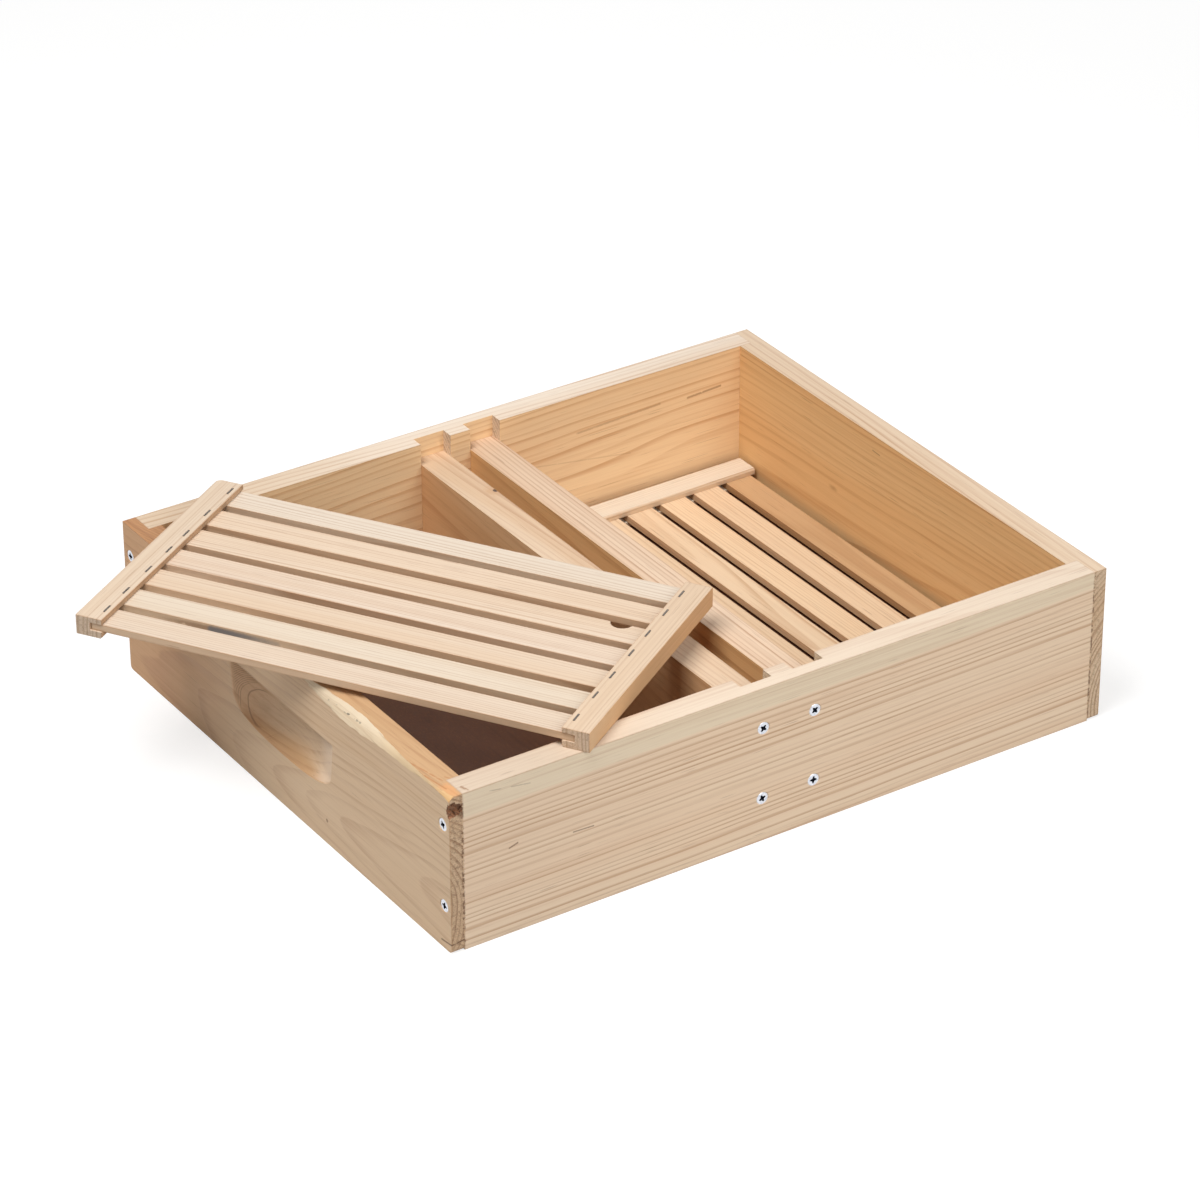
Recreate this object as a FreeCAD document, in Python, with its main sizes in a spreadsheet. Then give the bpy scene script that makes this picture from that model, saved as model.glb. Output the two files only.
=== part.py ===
import FreeCAD, Part
import math
import os
import Sketcher
from FreeCAD import Placement, Rotation, Vector

# Hive top feeder: a four-board box with a bee passage down its middle, a syrup
# reservoir on each side of it, and a slatted wooden float for each reservoir.
# Frame: X runs along the long side, Y across, Z up. The origin is the middle of
# the bee passage, at the level of the rim that stands on the hive body.

document = FreeCAD.newDocument("hive_top_feeder")

# Driving dimensions, in millimetres and degrees
DIMENSIONS = [
    ("box_length", 508.0, "outside length"),
    ("box_width", 412.75, "outside width"),
    ("box_height", 114.3, "height of the four boards"),
    ("board", 19.05, "thickness of the four boards"),
    ("corner_lip", 9.525, "wood left outside the corner rabbet of an end board"),
    ("corner_ease", 3.0, "rounding of the lower corners of an end board"),
    ("divider", 24.0, "thickness of a divider"),
    ("divider_drop", 15.875, "rim down to the top of the dividers"),
    ("passage", 16.0, "width of the bee passage"),
    ("dado_depth", 9.5, "depth of the slots that hold the dividers"),
    ("floor_rise", 9.5, "bee space under the floors"),
    ("floor_thick", 3.2, "hardboard floor"),
    ("floor_groove", 5.0, "depth of the grooves that hold the floors"),
    ("floor_play", 0.5, "gap left at each edge of a floor"),
    ("hold_top", 79.2, "straight upper edge of the hand hold"),
    ("hold_depth", 12.7, "depth of the hand hold at that edge"),
    ("hold_half_width", 66.5, "half the width of the hand hold at that edge"),
    ("hold_taper", 1.1, "loss of depth down to the cove"),
    ("cove_height", 54.0, "height where the cove of the hand hold begins"),
    ("cove_radius", 15.7, "radius of that cove"),
    ("screw_head", 9.0, "diameter of a screw head"),
    ("screw_shank", 4.0, "diameter of a screw shank"),
    ("screw_head_height", 2.3, "height of a screw head"),
    ("screw_head_lean", 45.0, "slope of the countersunk side of a head"),
    ("screw_length", 32.0, "length of a screw, with its head"),
    ("screw_shank_lean", 2.6, "slope of the shank, which thins towards its tip"),
    ("screw_sink", 0.3, "head below the face of the board"),
    ("recess_span", 5.4, "width of the cross in a screw head"),
    ("recess_slot", 1.2, "width of one slot of that cross"),
    ("recess_depth", 1.7, "depth of that cross"),
    ("shank_hole", 4.3, "hole that a screw passes through"),
    ("pilot_hole", 2.6, "hole that a screw bites into"),
    ("corner_screw_inset", 8.2, "corner screws in from the side face"),
    ("corner_screw_low", 31.5, "height of the lower corner screws"),
    ("corner_screw_high", 91.0, "height of the upper corner screws"),
    ("divider_screw_low", 31.8, "height of the lower divider screws"),
    ("divider_screw_high", 84.3, "height of the upper divider screws"),
    ("float_span", 360.6, "outside of one cleat to outside of the other"),
    ("cleat_length", 196.0, "length of a cleat"),
    ("cleat_width", 19.0, "width of a cleat"),
    ("cleat_thick", 14.1, "thickness of a cleat"),
    ("cleat_chamfer", 1.5, "chamfer under the inner edge of a cleat"),
    ("cleat_round", 4.0, "worn corner of one cleat"),
    ("slot_depth", 8.7, "depth of the slot in a cleat"),
    ("slot_low", 4.9, "wood under that slot"),
    ("slot_high", 5.4, "height of that slot"),
    ("slat_width", 21.4, "width of a slat"),
    ("slat_thick", 5.2, "thickness of a slat"),
    ("slat_pitch", 28.5, "from one slat to the next"),
    ("slat_play", 0.4, "gap between a slat's end and the slot's bottom"),
    ("notch_radius", 7.6, "radius of the lost knot in one slat"),
    ("notch_depth", 6.1, "how far that knot bites into the slat"),
    ("notch_reach", 27.8, "that knot from the end of the slat"),
    ("staple_crown", 8.4, "outside width of a staple"),
    ("staple_wire", 1.2, "width of the staple wire"),
    ("staple_thick", 0.6, "thickness of the staple wire"),
    ("staple_leg", 12.0, "height of a staple"),
    ("staple_proud", 0.3, "staple above the face of the cleat"),
    ("staple_inset", 3.7, "staples in from the inner edge of a cleat"),
    ("seated_x", 36.2, "rear left corner of the seated float, which lies upside down"),
    ("seated_y", 180.8, "rear left corner of the seated float"),
    ("seated_turn", 0.35, "turn of the seated float"),
    ("seated_margin", 0.2, "first slat of the seated float in from the cleat end"),
    ("loose_x", -154.2, "nearest corner of the loose float"),
    ("loose_y", -210.2, "nearest corner of the loose float"),
    ("loose_turn", 32.72, "turn of the loose float"),
    ("loose_margin", 1.0, "first slat of the loose float in from the cleat end"),
]
# Each staple was driven by eye: its distance from the middle of its slat
STAPLE_STRAY = {
    "loose_left": (2.6, -0.4, 1.3, 0.9, -3.9, -2.7, 1.4),
    "loose_right": (2.4, 3.1, 0.8, 1.9, -0.4, -0.3, -2.8),
    "seated_rear": (1.2, -2.0, 0.6, 2.4, -1.1, 0.3, -1.8),
    "seated_front": (-1.5, 0.9, 2.2, -0.7, 1.6, -2.3, 0.4),
}
# Each screw was stopped at its own angle, in degrees
SCREW_SPINS = {
    "left_end_screws": (80, 27, 64, 11),
    "right_end_screws": (10, 47, 84, 31),
    "front_side_screws": (10, 47, 84, 31),
    "rear_side_screws": (80, 27, 64, 11),
}
SLAT_COUNT = 7
SCREW_SIDES = 12

sheet = document.addObject("Spreadsheet::Sheet", "Sizes")
for row, (alias, size, meaning) in enumerate(DIMENSIONS, start=1):
    sheet.set("A%d" % row, alias)
    sheet.set("B%d" % row, str(size))
    sheet.set("C%d" % row, meaning)
    sheet.setAlias("B%d" % row, alias)
document.recompute()


def formula(text):
    """An expression in which each word that is a dimension's name reads the sheet."""
    words = text.replace("(", " ( ").replace(")", " ) ").split()
    names = {alias for alias, size, meaning in DIMENSIONS}
    return " ".join("Sizes." + word if word in names else word for word in words)


def size_of(text):
    return float(sheet.evalExpression(formula(text)))


def bind(thing, property_name, text):
    thing.setExpression(property_name, formula(text))


# Sketches and features

def new_body(label):
    body = document.addObject("PartDesign::Body", label)
    body.Label = label
    return body


def new_sketch(body, plane, offset="0"):
    """An empty sketch on one of the body's own planes, offset along its normal."""
    sketch = body.newObject("Sketcher::SketchObject", body.Label + "_sketch")
    planes = {feature.Role: feature for feature in body.Origin.OriginFeatures}
    sketch.AttachmentSupport = [(planes[plane], "")]
    sketch.MapMode = "FlatFace"
    bind(sketch, ".AttachmentOffset.Base.z", offset)
    return sketch


def pin_point(sketch, geometry, point, across, up):
    """Hold a sketch point at two expressions measured from the sketch's origin."""
    for kind, text in (("DistanceX", across), ("DistanceY", up)):
        limit = Sketcher.Constraint(kind, -1, 1, geometry, point, size_of(text))
        number = sketch.addConstraint(limit)
        bind(sketch, "Constraints[%d]" % number, text)


def draw_outline(sketch, corners):
    """A closed outline of straight lines through corners given as expressions."""
    places = [Vector(size_of(across), size_of(up), 0) for across, up in corners]
    first = sketch.GeometryCount
    for start, end in zip(places, places[1:] + places[:1]):
        sketch.addGeometry(Part.LineSegment(start, end), False)
    for step, (across, up) in enumerate(corners):
        line = first + step
        following = first + (step + 1) % len(corners)
        sketch.addConstraint(Sketcher.Constraint("Coincident", line, 2, following, 1))
        pin_point(sketch, line, 1, across, up)


def draw_rectangle(sketch, left, low, width, height):
    right = "( %s ) + ( %s )" % (left, width)
    high = "( %s ) + ( %s )" % (low, height)
    draw_outline(sketch, [(left, low), (right, low), (right, high), (left, high)])


def draw_circle(sketch, across, up, diameter):
    centre = Vector(size_of(across), size_of(up), 0)
    circle = Part.Circle(centre, Vector(0, 0, 1), size_of(diameter) / 2)
    number = sketch.addGeometry(circle, False)
    pin_point(sketch, number, 3, across, up)
    limit = Sketcher.Constraint("Diameter", number, size_of(diameter))
    bind(sketch, "Constraints[%d]" % sketch.addConstraint(limit), diameter)


def draw_polygon(sketch, diameter, sides):
    """A regular polygon about the sketch's origin, with its corners on a circle."""
    corners = []
    for side in range(sides):
        turn = 2 * math.pi * side / sides
        corners.append(tuple("%s / 2 * ( %.6f )" % (diameter, share)
                             for share in (math.cos(turn), math.sin(turn))))
    draw_outline(sketch, corners)


def pad(body, sketch, length, backwards=False, both_ways=False):
    feature = body.newObject("PartDesign::Pad", body.Label + "_pad")
    feature.Profile = sketch
    feature.Reversed = backwards
    feature.Midplane = both_ways
    bind(feature, "Length", length)
    sketch.Visibility = False
    document.recompute()
    return feature


def check_cut(body, volume_before):
    """Stop where a cut missed the solid, because a missed cut is no error by itself."""
    document.recompute()
    if body.Shape.Volume > volume_before - 0.1:
        raise RuntimeError("a cut took nothing from " + body.Label)


def pocket(body, sketch, depth, backwards=False):
    volume = body.Shape.Volume
    feature = body.newObject("PartDesign::Pocket", body.Label + "_pocket")
    feature.Profile = sketch
    feature.Reversed = backwards
    bind(feature, "Length", depth)
    sketch.Visibility = False
    check_cut(body, volume)


def drill(body, sketch, depth, backwards=False):
    """Countersunk screw holes at the circles of a sketch."""
    volume = body.Shape.Volume
    hole = body.newObject("PartDesign::Hole", body.Label + "_hole")
    hole.Profile = sketch
    document.recompute()
    hole.Reversed = backwards
    hole.Threaded = False
    hole.DepthType = "Dimension"
    hole.DrillPoint = "Flat"
    hole.HoleCutType = "Countersink"
    hole.HoleCutCustomValues = True
    hole.HoleCutCountersinkAngle = 90
    bind(hole, "Diameter", "shank_hole")
    bind(hole, "HoleCutDiameter", "screw_head + 2 * screw_sink")
    bind(hole, "Depth", depth)
    check_cut(body, volume)


def edges_at(shape, **wanted):
    """Names of the straight edges that lie wholly at the given x, y or z."""
    names = []
    for number, edge in enumerate(shape.Edges, start=1):
        ends = [vertex.Point for vertex in edge.Vertexes]
        fits = [abs(getattr(end, axis) - at) < 0.01 for end in ends for axis, at in wanted.items()]
        if edge.Curve.TypeId == "Part::GeomLine" and all(fits):
            names.append("Edge%d" % number)
    return names


def round_edges(body, names, radius):
    base = body.Tip
    feature = body.newObject("PartDesign::Fillet", body.Label + "_round")
    feature.Base = (base, names)
    bind(feature, "Radius", radius)
    document.recompute()


def bevel_edges(body, names, size):
    base = body.Tip
    feature = body.newObject("PartDesign::Chamfer", body.Label + "_bevel")
    feature.Base = (base, names)
    bind(feature, "Size", size)
    document.recompute()


def lean_sides(body, angle):
    """Lean the upright faces inwards, the lower the more."""
    base = body.Tip
    volume = base.Shape.Volume
    sides = ["Face%d" % number for number, face in enumerate(base.Shape.Faces, start=1)
             if abs(face.normalAt(0, 0).z) < 0.001]
    planes = {feature.Role: feature for feature in body.Origin.OriginFeatures}
    feature = body.newObject("PartDesign::Draft", body.Label + "_lean")
    feature.Base = (base, sides)
    feature.NeutralPlane = (planes["XY_Plane"], "")
    feature.Reversed = True
    bind(feature, "Angle", angle)
    check_cut(body, volume)


# Boards of the box. Each is drawn with its outer face on its own origin plane.

SIDE_LENGTH = "box_length - 2 * corner_lip"
SCREW_BITE = "screw_length - corner_lip + 1"


def side_board(label):
    """Long board: X along it, Y from its outer face inwards."""
    body = new_body(label)
    blank = new_sketch(body, "XY_Plane")
    draw_rectangle(blank, "0", "0", SIDE_LENGTH, "board")
    pad(body, blank, "box_height")

    dadoes = new_sketch(body, "XY_Plane")
    inner_face = "board - dado_depth"
    middle = "( " + SIDE_LENGTH + " ) / 2"
    draw_rectangle(dadoes, middle + " + passage / 2", inner_face, "divider", "dado_depth")
    draw_rectangle(dadoes, middle + " - passage / 2 - divider", inner_face, "divider", "dado_depth")
    pocket(body, dadoes, "box_height", backwards=True)

    groove = new_sketch(body, "YZ_Plane")
    draw_rectangle(groove, "board - floor_groove", "floor_rise", "floor_groove", "floor_thick")
    pocket(body, groove, SIDE_LENGTH, backwards=True)

    holes = new_sketch(body, "XZ_Plane")
    for sign in "+-":
        across = middle + " " + sign + " ( passage + divider ) / 2"
        for height in ("divider_screw_low", "divider_screw_high"):
            draw_circle(holes, across, height, "shank_hole")
    drill(body, holes, "board - dado_depth")

    for end, backwards in (("0", True), (SIDE_LENGTH, False)):
        pilots = new_sketch(body, "YZ_Plane", end)
        for height in ("corner_screw_low", "corner_screw_high"):
            draw_circle(pilots, "corner_screw_inset", height, "pilot_hole")
        pocket(body, pilots, SCREW_BITE, backwards)
    return body


def end_board(label):
    """Short board: X from its outer face inwards, Y along it, with a hand hold."""
    body = new_body(label)
    blank = new_sketch(body, "YZ_Plane")
    draw_rectangle(blank, "0", "0", "box_width", "box_height")
    pad(body, blank, "board")

    rabbets = new_sketch(body, "XY_Plane")
    rabbet = "board - corner_lip"
    draw_rectangle(rabbets, "corner_lip", "0", rabbet, "board")
    draw_rectangle(rabbets, "corner_lip", "box_width - board", rabbet, "board")
    pocket(body, rabbets, "box_height", backwards=True)

    groove = new_sketch(body, "XZ_Plane")
    draw_rectangle(groove, "board - floor_groove", "floor_rise", "floor_groove", "floor_thick")
    pocket(body, groove, "box_width")

    cut_hand_hold(body)

    for side, sign in (("0", "+"), ("box_width", "-")):
        holes = new_sketch(body, "YZ_Plane")
        across = side + " " + sign + " corner_screw_inset"
        for height in ("corner_screw_low", "corner_screw_high"):
            draw_circle(holes, across, height, "shank_hole")
        drill(body, holes, "corner_lip", backwards=True)

    width = size_of("box_width")
    corners = edges_at(body.Shape, y=0, z=0) + edges_at(body.Shape, y=width, z=0)
    round_edges(body, corners, "corner_ease")
    return body


def cut_hand_hold(body):
    """A wide cutter with a coved rim, on an upright axle outside the board, sweeps
    the scoop: straight above, deepest in the middle, and running out at its ends."""
    volume = body.Shape.Volume
    axle = "- ( hold_half_width ^ 2 - hold_depth ^ 2 ) / ( 2 * hold_depth )"
    centre = "hold_depth - hold_taper - cove_radius"
    low = "cove_height - cove_radius"
    sketch = new_sketch(body, "XZ_Plane", "- box_width / 2")
    corners = [
        (centre, low),
        (centre, "hold_top"),
        ("hold_depth", "hold_top"),
        ("hold_depth - hold_taper", "cove_height"),
    ]
    places = [Vector(size_of(across), size_of(up), 0) for across, up in corners]
    for start, end in zip(places, places[1:]):
        sketch.addGeometry(Part.LineSegment(start, end), False)
    cove = Part.Circle(Vector(size_of(centre), size_of("cove_height"), 0), Vector(0, 0, 1),
                       size_of("cove_radius"))
    arc = sketch.addGeometry(Part.ArcOfCircle(cove, -math.pi / 2, 0.0), False)
    for line, (across, up) in enumerate(corners[:3]):
        pin_point(sketch, line, 1, across, up)
    pin_point(sketch, 2, 2, *corners[3])
    for line in (0, 1):
        sketch.addConstraint(Sketcher.Constraint("Coincident", line, 2, line + 1, 1))
    sketch.addConstraint(Sketcher.Constraint("Coincident", 2, 2, arc, 2))
    sketch.addConstraint(Sketcher.Constraint("Coincident", arc, 1, 0, 1))
    limit = Sketcher.Constraint("DistanceX", -1, 1, arc, 3, size_of(centre))
    bind(sketch, "Constraints[%d]" % sketch.addConstraint(limit), centre)

    foot = Vector(size_of(axle), 0, 0)
    head = Vector(size_of(axle), size_of("box_height"), 0)
    line = sketch.addGeometry(Part.LineSegment(foot, head), True)
    pin_point(sketch, line, 1, axle, "0")
    pin_point(sketch, line, 2, axle, "box_height")

    groove = body.newObject("PartDesign::Groove", body.Label + "_hand_hold")
    groove.Profile = sketch
    groove.ReferenceAxis = (sketch, ["Axis0"])
    groove.Angle = 360
    sketch.Visibility = False
    check_cut(body, volume)


def divider(label):
    """Wall of a reservoir: X from its passage face to its syrup face, Y along it."""
    body = new_body(label)
    length = "box_width - 2 * board + 2 * dado_depth"
    blank = new_sketch(body, "XY_Plane")
    draw_rectangle(blank, "0", "0", "divider", length)
    pad(body, blank, "box_height - divider_drop")

    groove = new_sketch(body, "XZ_Plane")
    draw_rectangle(groove, "divider - floor_groove", "floor_rise", "floor_groove", "floor_thick")
    pocket(body, groove, length)

    for end, backwards in (("0", False), ("- ( " + length + " )", True)):
        pilots = new_sketch(body, "XZ_Plane", end)
        for height in ("divider_screw_low", "divider_screw_high"):
            draw_circle(pilots, "divider / 2", height, "pilot_hole")
        pocket(body, pilots, SCREW_BITE, backwards)
    return body


def floor_panel(label):
    body = new_body(label)
    inside = "box_length / 2 - board - divider - passage / 2"
    blank = new_sketch(body, "XY_Plane")
    draw_rectangle(blank, "0", "0", inside + " + 2 * ( floor_groove - floor_play )",
                   "box_width - 2 * board + 2 * ( floor_groove - floor_play )")
    pad(body, blank, "floor_thick")
    return body


# Pieces of a float. X runs along the cleats and Y along the slats.

def cleat(label, worn_corner=False):
    """Slotted rail: its outer face is at Y = 0 and its slot opens towards +Y."""
    body = new_body(label)
    blank = new_sketch(body, "YZ_Plane")
    draw_rectangle(blank, "0", "0", "cleat_width", "cleat_thick")
    pad(body, blank, "cleat_length")

    slot = new_sketch(body, "YZ_Plane")
    draw_rectangle(slot, "cleat_width - slot_depth", "slot_low", "slot_depth", "slot_high")
    pocket(body, slot, "cleat_length", backwards=True)

    bevel_edges(body, edges_at(body.Shape, y=size_of("cleat_width"), z=0), "cleat_chamfer")
    if worn_corner:
        round_edges(body, edges_at(body.Shape, x=0, y=0), "cleat_round")
    return body


def slat(label, lost_knot=False):
    body = new_body(label)
    blank = new_sketch(body, "XY_Plane")
    draw_rectangle(blank, "0", "0", "slat_width",
                   "float_span - 2 * ( cleat_width - slot_depth + slat_play )")
    pad(body, blank, "slat_thick")
    if lost_knot:
        knot = new_sketch(body, "XY_Plane")
        draw_circle(knot, "slat_width - notch_depth + notch_radius", "notch_reach",
                    "2 * notch_radius")
        pocket(body, knot, "slat_thick", backwards=True)
    return body


# Fasteners. One of each is drawn, and groups of linked copies are written out.

def wood_screw(label):
    """Flat-headed screw with a cross recess: its head is at Z = 0, its tip below.
    There are many of them, so a screw is many-sided, not round."""
    body = new_body(label)
    for diameter, length, lean in (
        ("screw_shank", "screw_length", "screw_shank_lean"),
        ("screw_head", "screw_head_height", "screw_head_lean"),
    ):
        section = new_sketch(body, "XY_Plane")
        draw_polygon(section, diameter, SCREW_SIDES)
        pad(body, section, length, backwards=True)
        lean_sides(body, lean)

    for width, height in (("recess_span", "recess_slot"), ("recess_slot", "recess_span")):
        cross = new_sketch(body, "XY_Plane")
        draw_rectangle(cross, "- %s / 2" % width, "- %s / 2" % height, width, height)
        pocket(body, cross, "recess_depth")
    return body


def staple(label):
    """Square-cut wire staple: its crown runs along X, its legs point down."""
    body = new_body(label)
    outline = new_sketch(body, "XZ_Plane")
    outer = "staple_crown / 2"
    inner = "staple_crown / 2 - staple_thick"
    foot = "- staple_leg"
    draw_outline(outline, [
        ("- ( " + outer + " )", foot),
        ("- ( " + inner + " )", foot),
        ("- ( " + inner + " )", "- staple_thick"),
        (inner, "- staple_thick"),
        (inner, foot),
        (outer, foot),
        (outer, "0"),
        ("- ( " + outer + " )", "0"),
    ])
    pad(body, outline, "staple_wire", both_ways=True)
    return body


def group(label, master, places):
    """One node of separate solids: linked copies of one fastener."""
    copies = []
    for number, place in enumerate(places, start=1):
        copy = document.addObject("App::Link", "%s_%d" % (label, number))
        copy.LinkedObject = master
        copy.LinkTransform = False
        copy.Placement = place
        copies.append(copy)
    compound = document.addObject("Part::Compound", label)
    compound.Label = label
    compound.Links = copies
    return compound


# Placing the pieces

NO_TURN = Rotation()
HALF_TURN = Rotation(Vector(0, 0, 1), 180)


def at(x, y, z=0.0, turn=NO_TURN):
    return Placement(Vector(x, y, z), turn)


def place(piece, placement):
    piece.Placement = placement
    return piece


def build_box():
    length = size_of("box_length")
    width = size_of("box_width")
    side = size_of(SIDE_LENGTH)
    rise = size_of("floor_rise")
    passage = size_of("passage")
    inner = size_of("box_length / 2 - board + floor_groove - floor_play")
    across = size_of("box_width / 2 - board + floor_groove - floor_play")
    seat = size_of("box_width / 2 - board + dado_depth")
    return [
        place(side_board("front_side"), at(-side / 2, -width / 2)),
        place(side_board("rear_side"), at(side / 2, width / 2, 0, HALF_TURN)),
        place(end_board("left_end"), at(-length / 2, -width / 2)),
        place(end_board("right_end"), at(length / 2, width / 2, 0, HALF_TURN)),
        place(divider("left_divider"), at(-passage / 2, seat, 0, HALF_TURN)),
        place(divider("right_divider"), at(passage / 2, -seat)),
        place(floor_panel("left_floor"), at(-inner, -across, rise)),
        place(floor_panel("right_floor"), at(inner, across, rise, HALF_TURN)),
    ]


def build_screws():
    """Sixteen screws in four groups: two in each end of each long board from the
    end boards, and two in each end of each divider from the long boards."""
    master = wood_screw("screw_pattern")
    sink = size_of("screw_sink")
    end_face = size_of("box_length / 2") - sink
    side_face = size_of("box_width / 2") - sink
    corner = size_of("box_width / 2 - corner_screw_inset")
    middle = size_of("( passage + divider ) / 2")
    corner_heights = (size_of("corner_screw_low"), size_of("corner_screw_high"))
    divider_heights = (size_of("divider_screw_low"), size_of("divider_screw_high"))
    along_x = Vector(0, 1, 0)
    along_y = Vector(1, 0, 0)
    groups = []
    for label, face, axis, tip_over, offsets, heights in (
        ("left_end_screws", -end_face, along_x, -90, corner, corner_heights),
        ("right_end_screws", end_face, along_x, 90, corner, corner_heights),
        ("front_side_screws", -side_face, along_y, 90, middle, divider_heights),
        ("rear_side_screws", side_face, along_y, -90, middle, divider_heights),
    ):
        places = []
        for offset in (-offsets, offsets):
            for height in heights:
                spin = Rotation(Vector(0, 0, 1), SCREW_SPINS[label][len(places)])
                turn = Rotation(axis, tip_over).multiply(spin)
                x, y = (face, offset) if axis is along_x else (offset, face)
                places.append(at(x, y, height, turn))
        groups.append(group(label, master, places))
    return groups


def build_float(name, corner, margin, cleat_names, staple_pattern, worn_corner=False, knotted_slat=0):
    """One float: slats held in two slotted cleats, with a staple at each crossing."""
    span = size_of("float_span")
    length = size_of("cleat_length")
    slat_end = size_of("cleat_width - slot_depth + slat_play")
    slat_floor = size_of("slot_low")
    pitch = size_of("slat_pitch")
    near, far = cleat_names
    pieces = [
        place(cleat("%s_float_%s_cleat" % (name, near)), corner),
        place(cleat("%s_float_%s_cleat" % (name, far), worn_corner),
              corner.multiply(at(length, span, 0, HALF_TURN))),
    ]
    for number in range(1, SLAT_COUNT + 1):
        piece = slat("%s_float_slat_%d" % (name, number), number == knotted_slat)
        start = margin + (number - 1) * pitch
        pieces.append(place(piece, corner.multiply(at(start, slat_end, slat_floor))))

    inset = size_of("cleat_width - staple_inset")
    height = size_of("cleat_thick + staple_proud")
    first = margin + size_of("slat_width") / 2
    for side, across in ((near, inset), (far, span - inset)):
        places = []
        for number, stray in enumerate(STAPLE_STRAY["%s_%s" % (name, side)]):
            along = first + number * pitch + stray
            places.append(corner.multiply(at(along, across, height)))
        pieces.append(group("%s_float_%s_staples" % (name, side), staple_pattern, places))
    return pieces


driven_staple = staple("staple_pattern")
# The seated float lies upside down on the floor, on the crowns of its staples
seated_height = size_of("floor_rise + floor_thick + cleat_thick + staple_proud")
upside_down = Rotation(Vector(1, 0, 0), 180)
seated_corner = at(size_of("seated_x"), size_of("seated_y"), seated_height,
                   Rotation(Vector(0, 0, 1), size_of("seated_turn")).multiply(upside_down))
loose_corner = at(size_of("loose_x"), size_of("loose_y"), size_of("box_height"),
                  Rotation(Vector(0, 0, 1), size_of("loose_turn")))

nodes = build_box() + build_screws()
nodes += build_float("seated", seated_corner, size_of("seated_margin"),
                     ("rear", "front"), driven_staple)
nodes += build_float("loose", loose_corner, size_of("loose_margin"),
                     ("right", "left"), driven_staple, worn_corner=True, knotted_slat=5)
document.recompute()

# Nothing is written unless every object is sound
for thing in document.Objects:
    if "Invalid" in thing.State or "Error" in thing.State:
        raise RuntimeError("%s is %s" % (thing.Label, thing.State))
for node in nodes:
    if node.Shape.isNull() or not node.Shape.isValid():
        raise RuntimeError("%s has no valid shape" % node.Label)

os.makedirs("parts", exist_ok=True)
for node in nodes:
    node.Shape.exportStep("parts/%s.step" % node.Label)
print("%d nodes" % len(nodes))
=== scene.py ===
import math
import random

import bmesh
import bpy
from mathutils import Matrix, Vector


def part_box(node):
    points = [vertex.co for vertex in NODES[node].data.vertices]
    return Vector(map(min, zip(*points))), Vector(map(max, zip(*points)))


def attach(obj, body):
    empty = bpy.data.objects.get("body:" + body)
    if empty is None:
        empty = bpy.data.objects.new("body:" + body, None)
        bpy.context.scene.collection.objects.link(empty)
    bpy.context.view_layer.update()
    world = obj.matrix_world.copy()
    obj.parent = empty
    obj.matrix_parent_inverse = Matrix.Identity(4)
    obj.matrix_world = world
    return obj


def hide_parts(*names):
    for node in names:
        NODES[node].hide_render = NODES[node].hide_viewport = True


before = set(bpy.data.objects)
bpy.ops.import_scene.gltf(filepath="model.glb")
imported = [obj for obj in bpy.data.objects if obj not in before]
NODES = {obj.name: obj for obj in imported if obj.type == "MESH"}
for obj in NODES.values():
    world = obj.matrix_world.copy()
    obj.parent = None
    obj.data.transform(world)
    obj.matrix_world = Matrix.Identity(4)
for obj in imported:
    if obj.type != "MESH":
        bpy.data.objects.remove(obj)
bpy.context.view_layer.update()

MILLIMETRE = 0.001
X_AXIS = Vector((1, 0, 0))
Y_AXIS = Vector((0, 1, 0))
Z_AXIS = Vector((0, 0, 1))


def srgb(red, green, blue):
    """A colour given as it looks on screen, from 0 to 255, in the linear values that shaders use."""
    def linear(value):
        share = value / 255
        return share / 12.92 if share <= 0.04045 else ((share + 0.055) / 1.055) ** 2.4
    return (linear(red), linear(green), linear(blue), 1.0)


def tint(red, green, blue):
    """A factor for each channel of a colour."""
    return (red, green, blue, 1)


# Building shader nodes

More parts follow.
